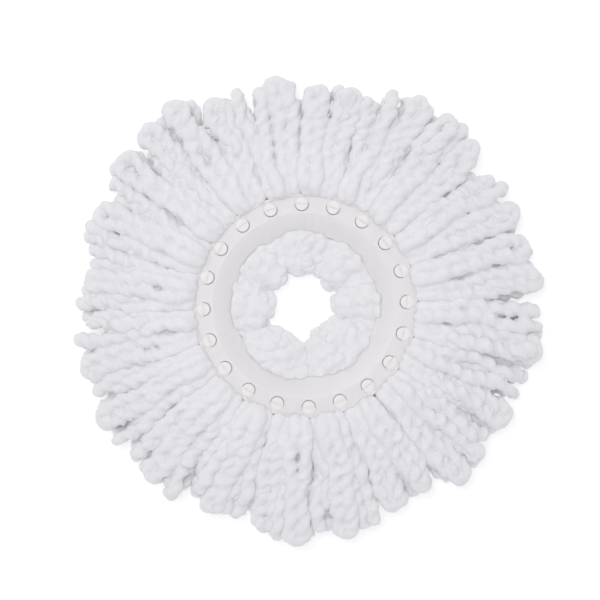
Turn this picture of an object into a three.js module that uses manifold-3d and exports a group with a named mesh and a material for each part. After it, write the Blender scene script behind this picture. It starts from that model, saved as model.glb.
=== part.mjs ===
// Refill head of a spin mop. Two moulded rings snap together and clamp a sewn ring of microfibre yarn:
// the clip ring on top takes the mop's plate, and the pin ring below it is buried in the yarn.
// Millimetres, +Z up. The origin is on the rings' axis, at the floor that the yarn lies on.

import * as THREE from "three";
import { mergeVertices } from "three/addons/utils/BufferGeometryUtils.js";
import Module from "manifold-3d";

const wasm = await Module();
wasm.setup();

// Driving dimensions
const PIN_COUNT = 20;
const PIN_PHASE = 2; // degrees from +X to the first pin
const INNER_TUFT_COUNT = 10;
const RING_R = 80; // outer radius of the clip ring
const MOUTH_R = 52; // radius of the round mouth that the plate's hub drops into
const PIN_CIRCLE_R = 72.5;
const PIN_R = 4.7;
const HOLE_R = 5.05;
const HOLE_CIRCLE_R = 72.35; // the pins sit outwards in their holes, so the gap shows on the inner side
const GAP = 0.3; // between pieces that touch on the real head
const ROUND_STEPS = 60; // facets of a full turn
const PIN_STEPS = 16;

// Heights of the stack, from the floor up
const LOWER_YARN_H = 8;
const PIN_RING_Z = LOWER_YARN_H + GAP;
const PIN_RING_H = 2.5;
const NECK_Z = PIN_RING_Z + PIN_RING_H + GAP; // yarn squeezed between the rings
const NECK_H = 3.5;
const TAPE_Z = NECK_Z + NECK_H + GAP;
const TAPE_H = 0.8;
const THREAD_Z = TAPE_Z + TAPE_H + GAP;
const THREAD_H = 0.6;
const FLANGE_Z = THREAD_Z + THREAD_H + 0.4;
const FLANGE_H = 2.4;
const FLANGE_TOP = FLANGE_Z + FLANGE_H;
const RIM_H = 1.6;
const RIM_W = 1.6;
const HEAD_TOP = FLANGE_TOP + RIM_H;

// The clip ring's flat band ends where its funnel starts to slope down to the mouth
const BAND_R = 66;
const FUNNEL_DROP = 4.8;
const LIP_H = 2;

// Yarn
const DRAPE_FROM_R = 100; // the lower yarn is level out to here, and then thins towards its tips
const DRAPE_SLOPE = 0.08;
const UPPER_LOBES = 3; // strands that show side by side in a tuft
const LOWER_LOBES = 2;
const LAYER_GAP = 0.4;
// How far each outer tuft reaches from the axis. The pattern repeats every quarter turn.
const UPPER_REACH = [168, 163, 167, 161, 165];
const LOWER_REACH = [160, 156, 159, 154, 157];

const plastic = { color: 0xe9e6ea, roughness: 0.4, metalness: 0 };
const yarn = { color: 0xeeedf2, roughness: 0.95, metalness: 0 };
const webbing = { color: 0xe4e2e4, roughness: 0.9, metalness: 0 };

const tau = 2 * Math.PI;
const pinAngle = (i) => THREE.MathUtils.degToRad(PIN_PHASE) + (i * tau) / PIN_COUNT;
const betweenPins = (i) => pinAngle(i + 0.5);

// --- Solids: three.js shapes, joined and cut by manifold-3d ---

function solidOf(geometry) {
  const bare = geometry.index ? geometry.toNonIndexed() : geometry.clone();
  bare.deleteAttribute("normal");
  bare.deleteAttribute("uv");
  const merged = mergeVertices(bare, 1e-4);
  return new wasm.Manifold(
    new wasm.Mesh({
      numProp: 3,
      vertProperties: new Float32Array(merged.attributes.position.array),
      triVerts: new Uint32Array(merged.index.array),
    }),
  );
}

function geometryOf(solid) {
  const mesh = solid.getMesh();
  return new THREE.BufferGeometry()
    .setAttribute("position", new THREE.BufferAttribute(mesh.vertProperties, 3))
    .setIndex(new THREE.BufferAttribute(mesh.triVerts, 1));
}

// A profile of [radius, height] pairs turned round Z. One that doesn't start on the axis closes on itself.
function turned(profile, steps = ROUND_STEPS) {
  const points = profile.map(([r, z]) => new THREE.Vector2(r, z));
  if (profile[0][0] > 0) points.push(points[0].clone());
  return new THREE.LatheGeometry(points, steps).rotateX(Math.PI / 2);
}

// Where a pin or hole stands, as a matrix whose X axis points away from the rings' axis
function standing(angle, radius) {
  return new THREE.Matrix4()
    .makeRotationZ(angle)
    .multiply(new THREE.Matrix4().makeTranslation(radius, 0, 0));
}

// A turned ring with a round hole for every pin
function drilled(profile, holeCircle) {
  const heights = profile.map(([, z]) => z);
  const low = Math.min(...heights) - 1;
  const high = Math.max(...heights) + 1;
  const drill = turned(
    [
      [0, low],
      [HOLE_R, low],
      [HOLE_R, high],
      [0, high],
    ],
    PIN_STEPS,
  );
  let ring = solidOf(turned(profile));
  for (let i = 0; i < PIN_COUNT; i++)
    ring = ring.subtract(solidOf(drill.clone().applyMatrix4(standing(pinAngle(i), holeCircle))));
  return geometryOf(ring);
}

// --- Moulded rings ---

function clipRing() {
  const lipTop = FLANGE_TOP - FUNNEL_DROP;
  const lipEdge = 0.6;
  const profile = [
    [MOUTH_R, lipTop - LIP_H],
    [BAND_R, FLANGE_Z],
    [RING_R, FLANGE_Z],
    [RING_R, HEAD_TOP - 0.4],
    [RING_R - 0.4, HEAD_TOP],
    [RING_R - RIM_W, HEAD_TOP],
    [RING_R - RIM_W, FLANGE_TOP],
    [BAND_R, FLANGE_TOP],
    [MOUTH_R, lipTop],
    [MOUTH_R - lipEdge, lipTop - LIP_H / 2],
  ];
  return drilled(profile, HOLE_CIRCLE_R);
}

// A split snap pin standing at the origin. X points outwards, and only the outer half carries a barb.
function snapPin() {
  const foot = PIN_RING_Z + PIN_RING_H / 2;
  const nose = 0.7;
  const top = HEAD_TOP - 0.1;
  const slotW = 0.5;
  const slotZ = top - 1.5;
  const barbR = PIN_R + 0.8;
  const barbZ = FLANGE_TOP + GAP;
  const barbH = 0.7;
  const post = turned(
    [
      [0, foot],
      [PIN_R, foot],
      [PIN_R, top - nose],
      [PIN_R - nose, top],
      [0, top],
    ],
    PIN_STEPS,
  );
  const barb = turned(
    [
      [0, barbZ],
      [barbR, barbZ],
      [PIN_R, barbZ + barbH],
      [0, barbZ + barbH],
    ],
    PIN_STEPS,
  );
  const innerSide = new THREE.BoxGeometry(2 * barbR, 4 * barbR, 4).translate(
    -barbR + slotW / 2,
    0,
    barbZ + barbH / 2,
  );
  const slot = new THREE.BoxGeometry(slotW, 4 * PIN_R, top - slotZ + 2).translate(
    0,
    0,
    (slotZ + top + 2) / 2,
  );
  return solidOf(post)
    .add(solidOf(barb).subtract(solidOf(innerSide)))
    .subtract(solidOf(slot));
}

function pinRing() {
  const chamfer = 0.6;
  const outerR = RING_R - 2;
  const innerR = BAND_R - 3;
  const top = PIN_RING_Z + PIN_RING_H;
  const base = turned([
    [innerR, PIN_RING_Z + chamfer],
    [innerR + chamfer, PIN_RING_Z],
    [outerR - chamfer, PIN_RING_Z],
    [outerR, PIN_RING_Z + chamfer],
    [outerR, top],
    [innerR, top],
  ]);
  const pin = geometryOf(snapPin());
  let ring = solidOf(base);
  for (let i = 0; i < PIN_COUNT; i++)
    ring = ring.add(solidOf(pin.clone().applyMatrix4(standing(pinAngle(i), PIN_CIRCLE_R))));
  return geometryOf(ring);
}

// --- The band that the yarn is sewn to ---

function headerTape() {
  const innerR = BAND_R - 3.2;
  const outerR = RING_R - 0.6;
  const profile = [
    [innerR, TAPE_Z],
    [outerR, TAPE_Z],
    [outerR, TAPE_Z + TAPE_H],
    [innerR, TAPE_Z + TAPE_H],
  ];
  return drilled(profile, PIN_CIRCLE_R);
}

function threadRow(radius) {
  const half = THREAD_H / 2;
  const steps = 40;
  const profile = [
    [radius - half, THREAD_Z + half],
    [radius, THREAD_Z],
    [radius + half, THREAD_Z + half],
    [radius, THREAD_Z + THREAD_H],
  ];
  return turned(profile, steps);
}

// --- Yarn ---

// The cross-section of strands side by side, one unit wide and one high, with a flat underside
function strandsSection(lobes) {
  const side = 0.45;
  const crown = 2 - side; // a curve's control point, set so that the curve's top is at 1
  const section = new THREE.Shape();
  section.moveTo(-0.5, 0);
  section.lineTo(0.5, 0);
  section.lineTo(0.5, side);
  for (let i = 0; i < lobes; i++) {
    const edge = 0.5 - i / lobes;
    section.quadraticCurveTo(edge - 0.5 / lobes, crown, edge - 1 / lobes, side);
  }
  section.closePath();
  return section;
}

// A tuft along +X, from stations of { r, width, low, high }
function tuft(stations, lobes) {
  const spans = stations.length - 1;
  const geometry = new THREE.ExtrudeGeometry(strandsSection(lobes), {
    depth: spans,
    steps: spans,
    curveSegments: 3,
    bevelEnabled: false,
  });
  const points = geometry.getAttribute("position");
  for (let i = 0; i < points.count; i++) {
    const { r, width, low, high } = stations[Math.round(points.getZ(i))];
    const across = points.getX(i) * width;
    points.setXYZ(i, r, across, low + points.getY(i) * (high - low));
  }
  return geometry;
}

const lowerYarnTop = (r) => LOWER_YARN_H - DRAPE_SLOPE * Math.max(0, r - DRAPE_FROM_R);

// Outer yarn of the upper layer: a neck between two pins, then a fan that puffs up beside the ring and
// drapes over the lower layer
function upperTuft(reach) {
  const neckW = 12.4;
  const fanW = 31;
  const puff = 13.4; // thickness beside the ring
  const thick = 11;
  const underside = (r) => lowerYarnTop(r) + LAYER_GAP;
  const fan = (r, width, high) => ({ r, width, low: underside(r), high: underside(r) + high });
  const stations = [
    { r: BAND_R - 3.4, width: neckW - 3, low: NECK_Z, high: NECK_Z + NECK_H },
    { r: PIN_CIRCLE_R + PIN_R, width: neckW, low: NECK_Z, high: NECK_Z + NECK_H },
    { r: RING_R + 0.8, width: 23, low: NECK_Z - 1, high: NECK_Z + NECK_H + 1 },
    fan(RING_R + 6, 25.5, puff),
    fan(DRAPE_FROM_R, 29, puff - 1),
    fan(reach - 14, fanW, thick),
    { r: reach, width: 0.7 * fanW, low: underside(reach) + 1.5, high: underside(reach) + 0.6 * thick },
  ];
  return tuft(stations, UPPER_LOBES);
}

// Lower layer: it runs from the centre hole, under the pin ring, out to its own tips, and lies on the floor
function lowerTuft(reach) {
  const fanW = 30;
  const level = (r, width) => ({ r, width, low: 0, high: lowerYarnTop(r) });
  const stations = [
    { r: 27, width: 8, low: 0.8, high: 4.5 },
    level(48, 14.6),
    level(RING_R + 4, 25.6),
    level(DRAPE_FROM_R, 28.5),
    level(reach - 12, fanW),
    { r: reach, width: 0.65 * fanW, low: 0.6, high: 3 },
  ];
  return tuft(stations, LOWER_LOBES);
}

// Inner yarn: from the edge of the centre hole it swells up in the mouth, and ends under the funnel
function innerTuft() {
  const low = LOWER_YARN_H + LAYER_GAP;
  const underLip = FLANGE_TOP - FUNNEL_DROP - LIP_H - 0.6;
  const stations = [
    { r: 20.5, width: 9.5, low: 5, high: 9.5 },
    { r: 27, width: 16.8, low: 7, high: 14.4 },
    { r: 36, width: 22.6, low, high: 16.2 },
    { r: MOUTH_R - 5.5, width: 29.2, low, high: 15.4 },
    { r: MOUTH_R - 0.8, width: 32, low, high: underLip },
    { r: BAND_R - 7.5, width: 35.5, low, high: underLip },
  ];
  return tuft(stations, UPPER_LOBES);
}

// --- The head ---

const head = new THREE.Group();

function addPiece(name, geometry, look, angle = 0) {
  const mesh = new THREE.Mesh(geometry, new THREE.MeshStandardMaterial(look));
  mesh.name = name;
  mesh.rotation.z = angle;
  head.add(mesh);
}

const numbered = (name, i) => `${name}_${String(i + 1).padStart(2, "0")}`;

addPiece("clip_ring", clipRing(), plastic);
addPiece("pin_ring", pinRing(), plastic);
addPiece("header_tape", headerTape(), webbing);
addPiece("outer_thread_row", threadRow(RING_R - 1.6), webbing);
addPiece("inner_thread_row", threadRow(BAND_R - 0.8), webbing);
for (let i = 0; i < PIN_COUNT; i++) {
  const reach = i % UPPER_REACH.length;
  addPiece(numbered("upper_tuft", i), upperTuft(UPPER_REACH[reach]), yarn, betweenPins(i));
  addPiece(numbered("lower_tuft", i), lowerTuft(LOWER_REACH[reach]), yarn, pinAngle(i));
}
for (let i = 0; i < INNER_TUFT_COUNT; i++)
  addPiece(numbered("inner_tuft", i), innerTuft(), yarn, (i * tau) / INNER_TUFT_COUNT);

export default head;
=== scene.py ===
"""Looks of a spin mop's refill head: a spread of fluffy two-ply yarn clamped between two moulded rings.

Metres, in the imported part's frame: +Z is up, and the yarn lies on the floor at z = 0.
"""

import math
from collections import namedtuple

import bmesh
import bpy
import numpy as np
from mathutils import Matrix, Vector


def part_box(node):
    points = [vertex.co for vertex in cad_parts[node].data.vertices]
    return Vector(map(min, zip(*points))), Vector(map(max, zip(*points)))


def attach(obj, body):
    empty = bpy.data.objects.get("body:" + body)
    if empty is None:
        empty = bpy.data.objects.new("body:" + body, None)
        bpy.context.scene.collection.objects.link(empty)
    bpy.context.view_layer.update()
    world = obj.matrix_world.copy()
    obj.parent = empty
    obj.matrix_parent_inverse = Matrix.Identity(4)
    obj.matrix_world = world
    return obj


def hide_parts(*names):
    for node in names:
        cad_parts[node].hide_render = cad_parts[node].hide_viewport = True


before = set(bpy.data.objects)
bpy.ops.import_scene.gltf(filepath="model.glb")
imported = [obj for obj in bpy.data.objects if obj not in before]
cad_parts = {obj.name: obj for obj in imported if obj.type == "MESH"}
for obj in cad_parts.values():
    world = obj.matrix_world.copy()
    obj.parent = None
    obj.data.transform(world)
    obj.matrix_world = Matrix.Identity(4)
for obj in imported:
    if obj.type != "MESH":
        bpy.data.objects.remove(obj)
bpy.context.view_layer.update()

MM = 0.001
TURN = 2 * math.pi
rng = np.random.default_rng(3)  # every random draw comes from here, in a fixed order

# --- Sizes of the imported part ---

CLIP_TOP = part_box("clip_ring")[1]
PIN_RING_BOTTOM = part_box("pin_ring")[0]
TAPE_BOTTOM, TAPE_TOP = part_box("header_tape")
RING_R = CLIP_TOP.x
MOUTH_R = 52 * MM
PIN_CIRCLE_R = 72.5 * MM
PIN_PHASE = math.radians(2)  # from +X to the first pin
PIN_PLATE_H = 2.8 * MM  # the pin ring's flat plate, with the gap over it
NECK_Z = (PIN_RING_BOTTOM.z + PIN_PLATE_H + TAPE_BOTTOM.z) / 2  # of yarn squeezed between the rings
NECK_W = 12.4 * MM  # between two pins
TUFTS = sum(name.startswith("upper_tuft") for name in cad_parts)
INNER_TUFTS = sum(name.startswith("inner_tuft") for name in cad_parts)

# --- The yarn itself ---

YARN_R = 5.3 * MM
PINCH = 0.1  # how much thinner the yarn is beside the ring
PINCH_LENGTH = 20 * MM
TIP_SWELL = 0.12  # how much thicker the yarn is near its tips
TIP_SWELL_R = 105 * MM  # where that starts
TIP_SWELL_LENGTH = 40 * MM
PLY_PITCH = 23 * MM  # length of one full twist of the two plies
PITCH_SPREAD = 0.12  # from strand to strand
PLY_OFFSET = 0.28  # of each ply's centre, as a share of the yarn's radius
BEAD = 0.11  # how much thicker the yarn is at each crossing of the plies
SLACK_TWIST = 1.6  # uneven twist along a strand, in radians before it is evened out
SLACK_TWIST_STEPS = 14  # each way that it is evened out over
SLACK_THICKNESS = 0.3  # uneven thickness, as a share of the radius before it is evened out
SLACK_THICKNESS_STEPS = 10
FLUFF = 0.2 * MM
COMBED_DEPTH = 0.5  # how deep the twist shows beside the ring, where the yarn is pulled straight
COMBED_LENGTH = 50 * MM
ROUND_END = 0.9  # of the yarn's radius, the length of a strand's rounded end
SECTION_POINTS = 26
STEP = 0.8 * MM  # along a strand
LINE_STEPS = 3  # each way that a strand's line is evened out over
SKIN_CELL = 0.8 * MM  # fineness of the skin that strands share
CRUMB_VOLUME = 100 * MM**3  # anything smaller isn't yarn

# --- How strands lie ---

FAN_R = 87 * MM  # the strands are evenly spread from here out
GATHER_R = 100 * MM  # the strands of a bundle draw together from here out
GATHER = 0.95  # what is left of a bundle's width at its tips
SOFT_CONTACT = 0.86  # share of a strand's radius that a neighbour can't sink into
CREST_Z = (14 * MM, 19 * MM, 24 * MM)  # highest strand centre beside the ring, for each turn of laying
SPREAD_Z = (11 * MM, 14 * MM, 16.5 * MM)  # and further out
SPREAD_LENGTH = 50 * MM  # over which the first becomes the second
LAYING_TURNS = 3
FLOOR_GAP = 0.3 * MM
HEAP_HALF = 200 * MM
SETTLE_STEPS = 8  # each way that a strand's height is evened out over

UPPER_PER_TUFT = 4
UPPER_FILLERS = 4  # shorter strands under the ones that show
FILLER_SHORT = (8 * MM, 32 * MM)
UPPER_NECK_R = 1.6 * MM  # of a strand between the rings
NECK_FLARE_R = RING_R - 1.5 * MM  # where it opens out
NECK_FLARE_LENGTH = 4 * MM
TIP_SCATTER = 1.5 * MM
LOOPED_SHARE = 0.7  # of neighbouring strands, the share that are two halves of one loop
LOOP_HALF_W = 0.95  # of the yarn's radius, from a loop's middle to the middle of each half
LOOP_BACK = 1.8  # yarn radii from a loop's outermost point to where its halves are joined
LOOP_WANDER = 1.7 * MM
END_WANDER = 2 * MM
FILLER_WANDER = 1.8 * MM
WORN_MOST = 0.35  # how much thinner a loose end can be
WORN_LENGTH = 16 * MM

LOWER_PER_TUFT = 5
LOWER_ROOT_R = (42 * MM, 27 * MM)  # where every other strand starts
LOWER_SHORT = (0, 7 * MM)
LOWER_NECK_R = 3.6 * MM  # of a strand under the rings
LOWER_SWELL_LENGTH = 25 * MM  # from the ring, over which it gets its full thickness
LOWER_RISE_LENGTH = 15 * MM  # and over which it rises from the floor onto the heap
LOWER_SINK = 0.85  # of its radius, how high the centre of a strand on the floor is
LOWER_WANDER = 1.6 * MM
LOWER_SKEW = 0.015  # how far a tip strays from its bundle, in radians

INNER_PER_TUFT = 7
INNER_YARN_R = 6.8 * MM
INNER_NECK_R = 2.1 * MM
INNER_ROOT_R = 58 * MM
INNER_SHORT = (3 * MM, 7 * MM)  # of every other strand
INNER_SPILL = (2 * MM, 5 * MM)  # how far past the mouth's lip a strand starts to swell
INNER_FLARE_LENGTH = 4 * MM
INNER_Z = 9.5 * MM
INNER_RISE = 2 * MM  # of every other strand
INNER_TURN_DOWN = 2 * MM  # at the centre hole
INNER_TURN_R = 32 * MM  # where that starts
INNER_TURN_LENGTH = 12 * MM
INNER_WANDER = 1.3 * MM
INNER_TWIST_DEPTH = 0.7
FOLD_REACH = 10 * MM  # how much further from the axis the yarn ends in a fold between lumps
FOLD_SINK = 4.5 * MM
FOLD_THINNING = 0.2

# Where the upper layer's tips gather: start and end in degrees round the head, and reach in mm
BUNDLES = [
    (0, 18, 168),
    (18, 39, 166),
    (39, 68, 171),
    (68, 92, 160),
    (92, 104, 163),
    (104, 118, 162),
    (118, 135, 174),
    (135, 150, 168),
    (150, 169, 164),
    (169, 187, 161),
    (187, 203, 167),
    (203, 220, 168),
    (220, 237, 169),
    (237, 256, 162),
    (256, 276, 168),
    (276, 290, 168),
    (290, 306, 162),
    (306, 321, 171),
    (321, 341, 166),
    (341, 360, 172),
]
BUNDLE_CREST = 2  # mm that the middle of a bundle reaches past its listed reach
BUNDLE_NOTCH = 9  # mm that its sides fall back from there
# The lumps of inner yarn round the centre hole: start and end in degrees, and distance from the axis in mm
LUMPS = [
    (-18, 30, 17),
    (30, 69, 17),
    (69, 117, 20),
    (117, 156, 20),
    (156, 204, 20),
    (204, 273, 21),
    (273, 342, 16),
]

# --- Helpers ---


def smooth(x):
    x = np.clip(x, 0, 1)
    return x * x * (3 - 2 * x)


def mix(start, end, share):
    return start + (end - start) * share


def polar(radius, angle):
    return np.stack([radius * np.cos(angle), radius * np.sin(angle)], axis=-1)


def length_along(points):
    """The distance along a line to each of its points."""
    gaps = np.linalg.norm(np.diff(points, axis=0), axis=1)
    return np.concatenate([[0], np.cumsum(gaps)])


def resampled(points):
    """The same line with its points a step apart."""
    along = length_along(points)
    count = max(8, int(along[-1] / STEP))
    wanted = np.linspace(0, along[-1], count + 1)
    return np.stack([np.interp(wanted, along, column) for column in points.T], axis=-1)


def relaxed(values, steps):
    """A running average over a number of steps each way along a line."""
    if values.ndim > 1:
        return np.stack([relaxed(column, steps) for column in values.T], axis=-1)
    kernel = np.hanning(2 * steps + 3)[1:-1]
    kernel /= kernel.sum()
    padded = np.concatenate([np.repeat(values[:1], steps), values, np.repeat(values[-1:], steps)])
    return np.convolve(padded, kernel, "valid")


def places_across(count):
    """Places one apart across a tuft, with the middle at 0."""
    return [k - (count - 1) / 2 for k in range(count)]


def numbered(name, i):
    return f"{name}_{i + 1:02d}"


# --- Where each strand runs, seen from above ---


def meander(distance, size):
    """A sideways wander, along a distance from where the yarn is held."""
    long_wave, short_wave, short_share = 75 * MM, 34 * MM, 0.45
    full_from = 30 * MM
    wave = np.sin(TURN * distance / long_wave + rng.uniform(0, TURN))
    wave += short_share * np.sin(TURN * distance / short_wave + rng.uniform(0, TURN))
    return size * wave * smooth(distance / full_from)


def leg(root_r, root_angle, fan_angle, tip_r, tip_angle, wander):
    """One strand's line on the floor plan: it fans out from where it's held, and then runs to its tip."""
    early = 0.9  # the gathering is still going on at the tip
    points = 60
    radius = np.linspace(root_r, tip_r, points)
    fanned = smooth((radius - root_r) / (FAN_R - root_r))
    gathered = smooth((radius - GATHER_R) / (tip_r - GATHER_R) * early) / smooth(early)
    angle = root_angle + (fan_angle - root_angle) * fanned + (tip_angle - fan_angle) * gathered
    return polar(radius, angle + meander(abs(radius - root_r), wander) / radius)


def looped(out, back):
    """Two legs joined by a round turn beyond their tips."""
    bend_points = 12
    middle = (out[-1] + back[-1]) / 2
    half = (out[-1] - back[-1]) / 2
    ahead = out[-1] - out[-4] + back[-1] - back[-4]
    ahead *= np.linalg.norm(half) / np.linalg.norm(ahead)
    sweep = np.linspace(0, math.pi, bend_points + 2)[1:-1, None]
    bend = middle + half * np.cos(sweep) + ahead * np.sin(sweep)
    return np.concatenate([out, bend, back[::-1]])


# Angles where a strand is held, fanned out and ends, its tip's distance from the axis, and its bundle
Aim = namedtuple("Aim", "root fan tip tip_r bundle")


def gathered_tip(angle):
    """A strand's tip angle and reach, from the bundle that it falls in, and that bundle's start."""
    degrees = math.degrees(angle) % 360
    for start, end, reach in BUNDLES:
        if start <= degrees < end:
            middle = (start + end) / 2
            off = abs(degrees - middle) / (end - middle)
            tip = mix(middle, degrees, GATHER)
            reach += BUNDLE_CREST - BUNDLE_NOTCH * off**3
            return angle + math.radians(tip - degrees), reach * MM, start


def upper_aim(centre, place):
    fan = centre + place * TURN / TUFTS / UPPER_PER_TUFT
    root = centre + place * NECK_W / UPPER_PER_TUFT / PIN_CIRCLE_R
    return Aim(root, fan, *gathered_tip(fan))


def upper_leg(aim, tip, tip_r, wander):
    return leg(PIN_CIRCLE_R, aim.root, aim.fan, tip_r, tip, wander)


def filler_plans(centre):
    """The lines of a tuft's fillers, which are laid first."""
    plans = []
    for place in places_across(UPPER_FILLERS):
        aim = upper_aim(centre, place)
        tip_r = aim.tip_r - rng.uniform(*FILLER_SHORT)
        plans.append((0, upper_leg(aim, aim.tip, tip_r, FILLER_WANDER)))
    return plans


def loop_plan(one, other):
    """The line of a loop whose halves are two neighbouring strands."""
    tip_r = (one.tip_r + other.tip_r) / 2 - LOOP_BACK * YARN_R
    middle = (one.tip + other.tip) / 2
    half_w = LOOP_HALF_W * YARN_R / tip_r
    out = upper_leg(one, middle - half_w, tip_r, LOOP_WANDER)
    back = upper_leg(other, middle + half_w, tip_r, LOOP_WANDER)
    return looped(out, back)


def upper_plans(tuft):
    """The lines of one upper tuft's strands, most of them joined in loops, each with its turn to be laid."""
    centre = PIN_PHASE + (tuft + 0.5) * TURN / TUFTS
    aims = []
    for place in places_across(UPPER_PER_TUFT):
        aim = upper_aim(centre, place)
        aims.append(aim._replace(tip_r=aim.tip_r + rng.normal(0, TIP_SCATTER)))
    plans = filler_plans(centre)
    while aims:
        turn = 1 + len(plans) % 2
        aim = aims.pop(0)
        if aims and aims[0].bundle == aim.bundle and rng.random() < LOOPED_SHARE:
            plans.append((turn, loop_plan(aim, aims.pop(0))))
        else:
            plans.append((turn, upper_leg(aim, aim.tip, aim.tip_r, END_WANDER)))
    return plans


def lower_plans(tuft):
    """The lines of one lower tuft's strands, from the centre hole outwards."""
    centre = PIN_PHASE + tuft * TURN / TUFTS
    plans = []
    for k, place in enumerate(places_across(LOWER_PER_TUFT)):
        angle = centre + place * TURN / TUFTS / LOWER_PER_TUFT
        tip, tip_r, _ = gathered_tip(angle)
        tip_r -= rng.uniform(*LOWER_SHORT)
        tip += rng.normal(0, LOWER_SKEW)
        plans.append((k % 2, leg(LOWER_ROOT_R[k % 2], angle, angle, tip_r, tip, LOWER_WANDER)))
    return plans


# --- How high each strand lies ---


class Heap:
    """The top of the yarn laid so far, as heights on a square grid."""

    cell = 1 * MM
    share = np.linspace(-0.95, 0.95, 15)  # of a strand's radius, where points across it are

    def __init__(self, half):
        self.half = half
        side = int(2 * half / self.cell) + 1
        self.height = np.zeros((side, side))

    def cells(self, xy):
        index = np.round((xy + self.half) / self.cell).astype(int)
        return np.clip(index, 0, self.height.shape[0] - 1)

    def across(self, xy, radius):
        """Points across the strand at each point of its line, and the section's height there."""
        ahead = np.gradient(xy, axis=0)
        ahead /= np.linalg.norm(ahead, axis=1, keepdims=True)
        side = np.stack([-ahead[:, 1], ahead[:, 0]], axis=-1)
        places = xy[:, None] + side[:, None] * (self.share[:, None] * radius[:, None, None])
        return places, np.sqrt(1 - self.share**2) * radius[:, None]

    def rest(self, xy, radius):
        """The lowest height of the strand's centre that clears what lies below it."""
        places, rise = self.across(xy, radius)
        i = self.cells(places)
        return (self.height[i[..., 0], i[..., 1]] + rise).max(axis=1)

    def add(self, xy, z, radius):
        places, rise = self.across(xy, radius)
        i = self.cells(places)
        np.maximum.at(self.height, (i[..., 0], i[..., 1]), z[:, None] + rise)


def free_radius(r):
    """A strand's own radius at a distance from the axis: it swells as it leaves the ring's pinch."""
    swelling = PINCH * smooth((r - RING_R) / PINCH_LENGTH)
    swelling += TIP_SWELL * smooth((r - TIP_SWELL_R) / TIP_SWELL_LENGTH)
    return YARN_R * (1 - PINCH + swelling)


def combed(r):
    """How deep the twist shows at a distance from the axis: the ring pulls the yarn straight beside it."""
    return mix(COMBED_DEPTH, 1, smooth((r - RING_R) / COMBED_LENGTH))


def worn(line):
    """A strand's thickness along its line: a loose end is thinner by an amount of its own."""
    is_loop = np.linalg.norm(line[-1]) < FAN_R  # its line runs back to the ring
    to_end = STEP * np.arange(len(line))[::-1]
    loss = 0 if is_loop else rng.uniform(0, WORN_MOST)
    return 1 - loss * smooth(1 - to_end / WORN_LENGTH)


def laid(plan, radius_of, z_of, heap):
    """The solid of an outer strand, after it is laid on the heap."""
    line = relaxed(resampled(plan), LINE_STEPS)
    r = np.linalg.norm(line, axis=1)
    radius = radius_of(line, r)
    z = z_of(r, radius, heap.rest(line, radius * SOFT_CONTACT))
    heap.add(line, z, radius * SOFT_CONTACT)
    return strand_solid(np.column_stack([line, z]), radius, combed(r))


def upper_strand(plan, turn, heap):
    """A strand that leaves the rings' pinch and then lies on the heap, under its turn's ceiling."""

    def out_of_neck(r):
        return smooth((r - NECK_FLARE_R) / NECK_FLARE_LENGTH)

    def radius_of(line, r):
        return mix(UPPER_NECK_R, free_radius(r), out_of_neck(r)) * worn(line)

    def z_of(r, radius, resting):
        ceiling = mix(CREST_Z[turn], SPREAD_Z[turn], smooth((r - FAN_R) / SPREAD_LENGTH))
        z = relaxed(np.minimum(resting, ceiling), SETTLE_STEPS)
        return mix(NECK_Z, z, out_of_neck(r))

    return laid(plan, radius_of, z_of, heap)


def lower_strand(plan, turn, heap):
    """A strand that lies on the floor: flat under the rings, and then at its full thickness."""

    def radius_of(line, r):
        return mix(LOWER_NECK_R, free_radius(r), smooth((r - RING_R) / LOWER_SWELL_LENGTH))

    def z_of(r, radius, resting):
        z = relaxed(np.maximum(resting, radius * LOWER_SINK), SETTLE_STEPS)
        return mix(radius, z, smooth((r - RING_R) / LOWER_RISE_LENGTH))

    return laid(plan, radius_of, z_of, heap)


def lump_at(angle):
    """The inner yarn's distance from the axis at an angle, and how deep in a fold that is, from 0 to 1."""
    first = LUMPS[0][0]
    degrees = (math.degrees(angle) - first) % 360 + first
    for start, end, reach in LUMPS:
        if start <= degrees < end:
            off = abs(degrees - (start + end) / 2) / (end - start) * 2
            return reach * MM + FOLD_REACH * off**2, off**2


def inner_strands(tuft):
    """Plump strands that swell up in the mouth and turn down at the centre hole."""
    points = 40
    solids = []
    for k, place in enumerate(places_across(INNER_PER_TUFT)):
        root = (tuft + place / INNER_PER_TUFT) * TURN / INNER_TUFTS
        is_long = k % 2
        reach, fold = lump_at(root)
        tip_r = reach + (0 if is_long else rng.uniform(*INNER_SHORT))
        out = np.linspace(INNER_ROOT_R, tip_r, points)
        angle = root + meander(INNER_ROOT_R - out, INNER_WANDER) / out
        line = relaxed(resampled(polar(out, angle)), LINE_STEPS)
        r = np.linalg.norm(line, axis=1)
        inside = smooth((MOUTH_R + rng.uniform(*INNER_SPILL) - r) / INNER_FLARE_LENGTH)
        radius = mix(INNER_NECK_R, INNER_YARN_R, inside * (1 - FOLD_THINNING * fold))
        z = INNER_Z + (0 if is_long else INNER_RISE) - FOLD_SINK * fold
        z = z - INNER_TURN_DOWN * smooth((INNER_TURN_R - r) / INNER_TURN_LENGTH)
        depth = np.full(len(r), INNER_TWIST_DEPTH)
        solids.append(strand_solid(np.column_stack([line, z]), radius, depth))
    return solids


# --- Strand solids ---


def frames_along(line):
    """Side and up vectors along a line, turned as little as possible."""
    ahead = np.gradient(line, axis=0)
    ahead /= np.linalg.norm(ahead, axis=1, keepdims=True)
    side = np.zeros_like(ahead)
    start = np.cross(ahead[0], [0, 0, 1])
    side[0] = start / np.linalg.norm(start)
    for i in range(1, len(line)):
        moved = side[i - 1] - ahead[i] * (side[i - 1] @ ahead[i])
        side[i] = moved / np.linalg.norm(moved)
    return side, np.cross(ahead, side)


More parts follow.
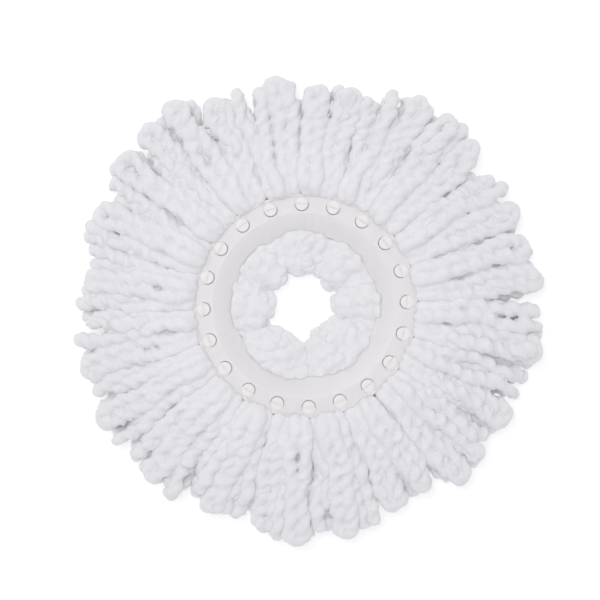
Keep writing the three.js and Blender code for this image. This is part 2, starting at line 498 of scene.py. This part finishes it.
def fluff(rows, columns):
    """Random tufts of fibre, one value for each point of a strand."""
    lumps = rng.standard_normal((rows, columns))
    lumps += np.roll(lumps, 1, axis=0) + np.roll(lumps, 1, axis=1)
    return lumps / lumps.std()


def two_lobes(twist, around, depth):
    """The outline of two plies side by side, as a share of the yarn's radius."""
    offset = PLY_OFFSET * depth[:, None]
    ply_angle = around[None] - twist[:, None]
    lobes = offset * abs(np.cos(ply_angle))
    return lobes + np.sqrt((1 - offset) ** 2 - (offset * np.sin(ply_angle)) ** 2)


def tube_quads(rows, columns):
    i, j = np.meshgrid(np.arange(rows - 1), np.arange(columns), indexing="ij")
    k = (j + 1) % columns
    near, far = i * columns, (i + 1) * columns
    return np.stack([near + j, near + k, far + k, far + j], axis=-1).reshape(-1, 4)


def strand_solid(line, radius, depth):
    """Points and quads of a fluffy two-ply strand round a line, its twist as deep as depth, from 0 to 1."""
    rows, columns = len(line), SECTION_POINTS
    side, up = frames_along(line)
    along = length_along(line)
    pitch = PLY_PITCH * rng.uniform(1 - PITCH_SPREAD, 1 + PITCH_SPREAD)
    twist = TURN * along / pitch + rng.uniform(0, TURN)
    twist += relaxed(rng.normal(0, SLACK_TWIST, rows), SLACK_TWIST_STEPS)
    around = np.arange(columns) * TURN / columns
    unevenness = relaxed(rng.normal(0, SLACK_THICKNESS, rows), SLACK_THICKNESS_STEPS)
    thickness = radius * (1 + unevenness + BEAD * depth * np.sin(2 * twist))
    reach = thickness[:, None] * two_lobes(twist, around, depth)
    reach += FLUFF * fluff(rows, columns) * (radius / YARN_R)[:, None]
    to_end = np.minimum(along, along[-1] - along) / (ROUND_END * YARN_R)
    reach *= np.sqrt(1 - (1 - np.clip(to_end, 0, 1)) ** 2)[:, None]  # round ends, closed to a point
    sideways = np.cos(around)[None, :, None] * side[:, None]
    upwards = np.sin(around)[None, :, None] * up[:, None]
    points = line[:, None] + reach[..., None] * (sideways + upwards)
    return points.reshape(-1, 3), tube_quads(rows, columns)


# --- Yarn meshes ---


def mesh_of(name, solids):
    """One mesh that holds several strands, none of them below the floor."""
    points, quads, base = [], [], 0
    for strand_points, strand_quads in solids:
        points.append(strand_points)
        quads.append(strand_quads + base)
        base += len(strand_points)
    points, quads = np.concatenate(points), np.concatenate(quads)
    points[:, 2] = np.maximum(points[:, 2], FLOOR_GAP)
    mesh = bpy.data.meshes.new(name)
    mesh.vertices.add(len(points))
    mesh.vertices.foreach_set("co", points.astype(np.float32).ravel())
    mesh.loops.add(quads.size)
    mesh.loops.foreach_set("vertex_index", quads.astype(np.int32).ravel())
    mesh.polygons.add(len(quads))
    mesh.polygons.foreach_set("loop_start", np.arange(0, quads.size, 4, dtype=np.int32))
    mesh.polygons.foreach_set("use_smooth", np.ones(len(quads), bool))
    mesh.update(calc_edges=True)
    return mesh


def island_labels(mesh):
    """A number for each point of a mesh, the same for all points that hang together."""
    ends = np.empty(len(mesh.edges) * 2, int)
    mesh.edges.foreach_get("vertices", ends)
    start, end = ends.reshape(-1, 2).T
    label = np.arange(len(mesh.vertices))
    while True:
        lower = label.copy()
        np.minimum.at(lower, start, label[end])
        np.minimum.at(lower, end, label[start])
        lower = lower[lower]
        if (lower == label).all():
            return label
        label = lower


def island_volumes(mesh, label):
    """The volume inside each island, under its label: a closed hollow's is below zero."""
    mesh.calc_loop_triangles()
    corners = np.empty(len(mesh.loop_triangles) * 3, int)
    mesh.loop_triangles.foreach_get("vertices", corners)
    corners = corners.reshape(-1, 3)
    places = np.empty(len(mesh.vertices) * 3)
    mesh.vertices.foreach_get("co", places)
    a, b, c = places.reshape(-1, 3)[corners.T]
    volume = np.zeros(len(mesh.vertices))
    np.add.at(volume, label[corners[:, 0]], (a * np.cross(b, c)).sum(axis=1) / 6)
    return volume


def drop_crumbs(mesh):
    """Deletes the crumbs and closed hollows that the remesh leaves in the yarn."""
    label = island_labels(mesh)
    loose = np.flatnonzero(island_volumes(mesh, label)[label] < CRUMB_VOLUME)
    if len(loose):
        cleaned = bmesh.new()
        cleaned.from_mesh(mesh)
        cleaned.verts.ensure_lookup_table()
        bmesh.ops.delete(cleaned, geom=[cleaned.verts[k] for k in loose], context="VERTS")
        cleaned.to_mesh(mesh)
        cleaned.free()


def lumps_texture():
    """Soft clouds for the yarn's uneven surface, shared by all of it."""
    lumps = bpy.data.textures.get("lumps") or bpy.data.textures.new("lumps", "CLOUDS")
    lumps.noise_scale = 3.2 * MM
    return lumps


def grown_together(mesh):
    """Touching strands joined in one soft skin, as fluffy yarn is, with a roughened surface."""
    raw = bpy.data.objects.new("raw", mesh)
    bpy.context.scene.collection.objects.link(raw)
    skin = raw.modifiers.new("one_skin", "REMESH")
    skin.mode = "VOXEL"
    skin.voxel_size = SKIN_CELL
    skin.use_smooth_shade = True
    folds = raw.modifiers.new("soft_folds", "SMOOTH")
    folds.factor = 0.5
    folds.iterations = 3
    fuzz = raw.modifiers.new("fuzz", "DISPLACE")
    fuzz.texture = lumps_texture()
    fuzz.texture_coords = "LOCAL"
    fuzz.strength = 0.6 * MM
    fuzz.mid_level = 0.4
    depsgraph = bpy.context.evaluated_depsgraph_get()
    grown = bpy.data.meshes.new_from_object(raw.evaluated_get(depsgraph))
    bpy.data.objects.remove(raw)
    drop_crumbs(grown)
    return grown


def yarn_piece(name, solids, material, node):
    """One object made of several strands, standing for one tuft of the part."""
    grown = grown_together(mesh_of(name, solids))
    grown.materials.clear()
    grown.materials.append(material)
    shown = bpy.data.objects.new(name, grown)
    bpy.context.scene.collection.objects.link(shown)
    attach(shown, "root")
    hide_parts(node)


def build_layer(layer, plans_of, strand, heap, material):
    """One layer of outer yarn, laid in turns, each in a mixed order, with later turns over earlier ones."""
    plans = [(turn, tuft, plan) for tuft in range(TUFTS) for turn, plan in plans_of(tuft)]
    solids = [[] for _ in range(TUFTS)]
    for now in range(LAYING_TURNS):
        for k in rng.permutation(len(plans)):
            turn, tuft, plan = plans[k]
            if turn == now:
                solids[tuft].append(strand(plan, turn, heap))
    for tuft in range(TUFTS):
        yarn_piece(numbered(layer + "_yarn", tuft), solids[tuft], material, numbered(layer + "_tuft", tuft))


def build_yarn(material):
    heap = Heap(HEAP_HALF)
    build_layer("lower", lower_plans, lower_strand, heap, material)
    build_layer("upper", upper_plans, upper_strand, heap, material)
    for tuft in range(INNER_TUFTS):
        yarn_piece(numbered("inner_yarn", tuft), inner_strands(tuft), material, numbered("inner_tuft", tuft))


# --- Materials ---


class Shader:
    """A material's node tree, with a Principled shader to build on."""

    def __init__(self, name):
        self.material = bpy.data.materials.new(name)
        self.material.use_nodes = True
        self.tree = self.material.node_tree
        self.surface = self.tree.nodes["Principled BSDF"]
        self.place = self.add("ShaderNodeTexCoord").outputs["Object"]

    def add(self, kind):
        return self.tree.nodes.new(kind)

    def link(self, source, target):
        self.tree.links.new(source, target)

    def noise(self, scale, detail=3.0):
        node = self.add("ShaderNodeTexNoise")
        node.inputs["Scale"].default_value = scale
        node.inputs["Detail"].default_value = detail
        self.link(self.place, node.inputs["Vector"])
        return node.outputs["Fac"]

    def less_towards_tips(self, fac):
        """A pattern that sinks with distance from the axis, so the yarn's colour is darker towards its tips.
        """
        fade_from, fade_to, sink = 100 * MM, 170 * MM, 0.3
        radius = self.add("ShaderNodeVectorMath")
        radius.operation = "LENGTH"
        self.link(self.place, radius.inputs[0])
        fade = self.add("ShaderNodeMapRange")
        fade.inputs["From Min"].default_value = fade_from
        fade.inputs["From Max"].default_value = fade_to
        fade.inputs["To Max"].default_value = -sink
        self.link(radius.outputs["Value"], fade.inputs["Value"])
        total = self.add("ShaderNodeMath")
        self.link(fac, total.inputs[0])
        self.link(fade.outputs["Result"], total.inputs[1])
        return total.outputs["Value"]

    def tint(self, fac, low, high):
        ramp = self.add("ShaderNodeValToRGB")
        ramp.color_ramp.elements[0].color = (*low, 1)
        ramp.color_ramp.elements[1].color = (*high, 1)
        ramp.color_ramp.elements[0].position = 0.3
        ramp.color_ramp.elements[1].position = 0.7
        self.link(fac, ramp.inputs["Fac"])
        self.link(ramp.outputs["Color"], self.surface.inputs["Base Color"])

    def roughness(self, fac, low, high):
        spread = self.add("ShaderNodeMapRange")
        spread.inputs["To Min"].default_value = low
        spread.inputs["To Max"].default_value = high
        self.link(fac, spread.inputs["Value"])
        self.link(spread.outputs["Result"], self.surface.inputs["Roughness"])

    def bump(self, heights, strength, distance):
        normal = None
        for height in heights:
            node = self.add("ShaderNodeBump")
            node.inputs["Strength"].default_value = strength
            node.inputs["Distance"].default_value = distance
            self.link(height, node.inputs["Height"])
            if normal is not None:
                self.link(normal, node.inputs["Normal"])
            normal = node.outputs["Normal"]
        self.link(normal, self.surface.inputs["Normal"])

    def painted_glow_in_folds(self, strength, distance, color):
        """Painted light: an emission that grows where folds and gaps lie deep in shade, so they glow instead
        of going dark; it stands in for the light that fibres and see-through plastic pass on into them.
        """
        open_sky = self.add("ShaderNodeAmbientOcclusion")
        open_sky.samples = 6
        open_sky.inputs["Distance"].default_value = distance
        painted_glow = self.add("ShaderNodeMapRange")
        painted_glow.inputs["From Max"].default_value = 0.4
        painted_glow.inputs["To Min"].default_value = strength
        painted_glow.inputs["To Max"].default_value = 0
        self.link(open_sky.outputs["AO"], painted_glow.inputs["Value"])
        # painted light: the emission gets stronger as the ambient occlusion gets deeper
        self.link(painted_glow.outputs["Result"], self.surface.inputs["Emission Strength"])
        self.surface.inputs["Emission Color"].default_value = (*color, 1)

    def soft_inside(self, weight, depth):
        """Light scatters inside the surface, the same for each colour."""
        self.surface.inputs["Subsurface Weight"].default_value = weight
        self.surface.inputs["Subsurface Radius"].default_value = (1, 1, 1)
        self.surface.inputs["Subsurface Scale"].default_value = depth


def yarn_material():
    shader = Shader("microfibre_yarn")
    shader.tint(shader.less_towards_tips(shader.noise(160)), (0.85, 0.847, 0.865), (0.9, 0.897, 0.915))
    shader.roughness(shader.noise(900), 0.85, 1.0)
    shader.bump([shader.noise(1100, detail=5), shader.noise(420)], strength=0.3, distance=0.4 * MM)
    shader.soft_inside(weight=0.4, depth=1.5 * MM)
    shader.surface.inputs["Specular IOR Level"].default_value = 0.1
    # Painted light: a faint emission lightens the deep, shaded folds between strands
    shader.painted_glow_in_folds(strength=0.09, distance=6 * MM, color=(0.97, 0.96, 1))
    return shader.material


def plastic_material(name, low, high, painted_glow):
    shader = Shader(name)
    shader.tint(shader.noise(30), low, high)
    shader.roughness(shader.noise(60), 0.34, 0.46)
    shader.bump([shader.noise(250, detail=4)], strength=0.08, distance=0.2 * MM)
    shader.soft_inside(weight=0.9, depth=4 * MM)
    # Painted light: a warm emission lightens the shaded gaps round the pins and along the rims
    shader.painted_glow_in_folds(strength=painted_glow, distance=1.5 * MM, color=(1, 0.96, 0.84))
    return shader.material


def cloth_material(name, weave):
    shader = Shader(name)
    shader.tint(shader.noise(200), (0.80, 0.79, 0.80), (0.86, 0.85, 0.86))
    shader.roughness(shader.noise(500), 0.8, 0.95)
    shader.bump([shader.noise(weave, detail=2)], strength=0.5, distance=0.3 * MM)
    return shader.material


# --- The pieces that stay as the part has them ---


def dress(node, material, bevel=0.0):
    """Gives a CAD node its material, soft edges and smooth shading."""
    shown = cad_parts[node]
    shown.data.materials.clear()
    shown.data.materials.append(material)
    shown.data.polygons.foreach_set("use_smooth", np.ones(len(shown.data.polygons), bool))
    shown.data.set_sharp_from_angle(angle=math.radians(35))
    if bevel:
        soften = shown.modifiers.new("soft_edges", "BEVEL")
        soften.width = bevel
        soften.segments = 2
        soften.limit_method = "ANGLE"
        soften.angle_limit = math.radians(40)


def dress_rings():
    # painted_glow is the strength of each ring's painted light in its gaps and folds
    clip = plastic_material("clip_ring_plastic", (0.94, 0.89, 0.935), (0.955, 0.905, 0.95), painted_glow=0.24)
    dress("clip_ring", clip, bevel=0.35 * MM)
    pins = plastic_material("pin_ring_plastic", (0.88, 0.865, 0.87), (0.9, 0.885, 0.89), painted_glow=0.16)
    dress("pin_ring", pins, bevel=0.25 * MM)


def dress_tape():
    """The tape is a straight strip of cloth that is bent flat into a ring, with a hole for each pin."""
    dress("header_tape", cloth_material("tape_webbing", weave=1500))


def dress_threads():
    dress("outer_thread_row", cloth_material("sewing_thread_outer", weave=2500))
    dress("inner_thread_row", cloth_material("sewing_thread_inner", weave=2500))


# --- Studio ---


def build_sky():
    world = bpy.data.worlds.new("studio")
    world.use_nodes = True
    world.node_tree.nodes["Background"].inputs["Color"].default_value = (0.985, 0.975, 1, 1)
    world.node_tree.nodes["Background"].inputs["Strength"].default_value = 0.69
    bpy.context.scene.world = world


def build_floor():
    bpy.ops.mesh.primitive_plane_add(size=24, location=(0, 0, -0.4 * MM))
    floor = bpy.context.object
    floor.name = "floor"
    shader = Shader("pale_floor")
    shader.surface.inputs["Base Color"].default_value = (0.78, 0.78, 0.78, 1)
    shader.surface.inputs["Emission Color"].default_value = (1, 1, 1, 1)
    shader.surface.inputs["Emission Strength"].default_value = 0.36
    floor.data.materials.append(shader.material)


def build_softbox():
    light = bpy.data.lights.new("softbox", "AREA")
    light.energy = 7.5  # watts
    light.size = 1.0
    lamp = bpy.data.objects.new("softbox", light)
    lamp.location = (-0.35, 0.45, 1.6)
    lamp.rotation_euler = (-lamp.location).to_track_quat("-Z", "Y").to_euler()
    bpy.context.scene.collection.objects.link(lamp)


def build_camera():
    """Straight above, with the head a little right of and below the middle of the view."""
    height = 1.15
    field = 426.6 * MM  # width of the view at the rings' top
    camera = bpy.data.cameras.new("camera")
    camera.sensor_width = 36
    camera.lens = camera.sensor_width * (height - CLIP_TOP.z) / field
    seen_from = bpy.data.objects.new("camera", camera)
    seen_from.location = (-3.7 * MM, 4.0 * MM, height)
    bpy.context.scene.collection.objects.link(seen_from)
    bpy.context.scene.camera = seen_from


def main():
    build_yarn(yarn_material())
    dress_rings()
    dress_tape()
    dress_threads()
    build_sky()
    build_floor()
    build_softbox()
    build_camera()
    bpy.context.scene.view_settings.view_transform = "Standard"


main()
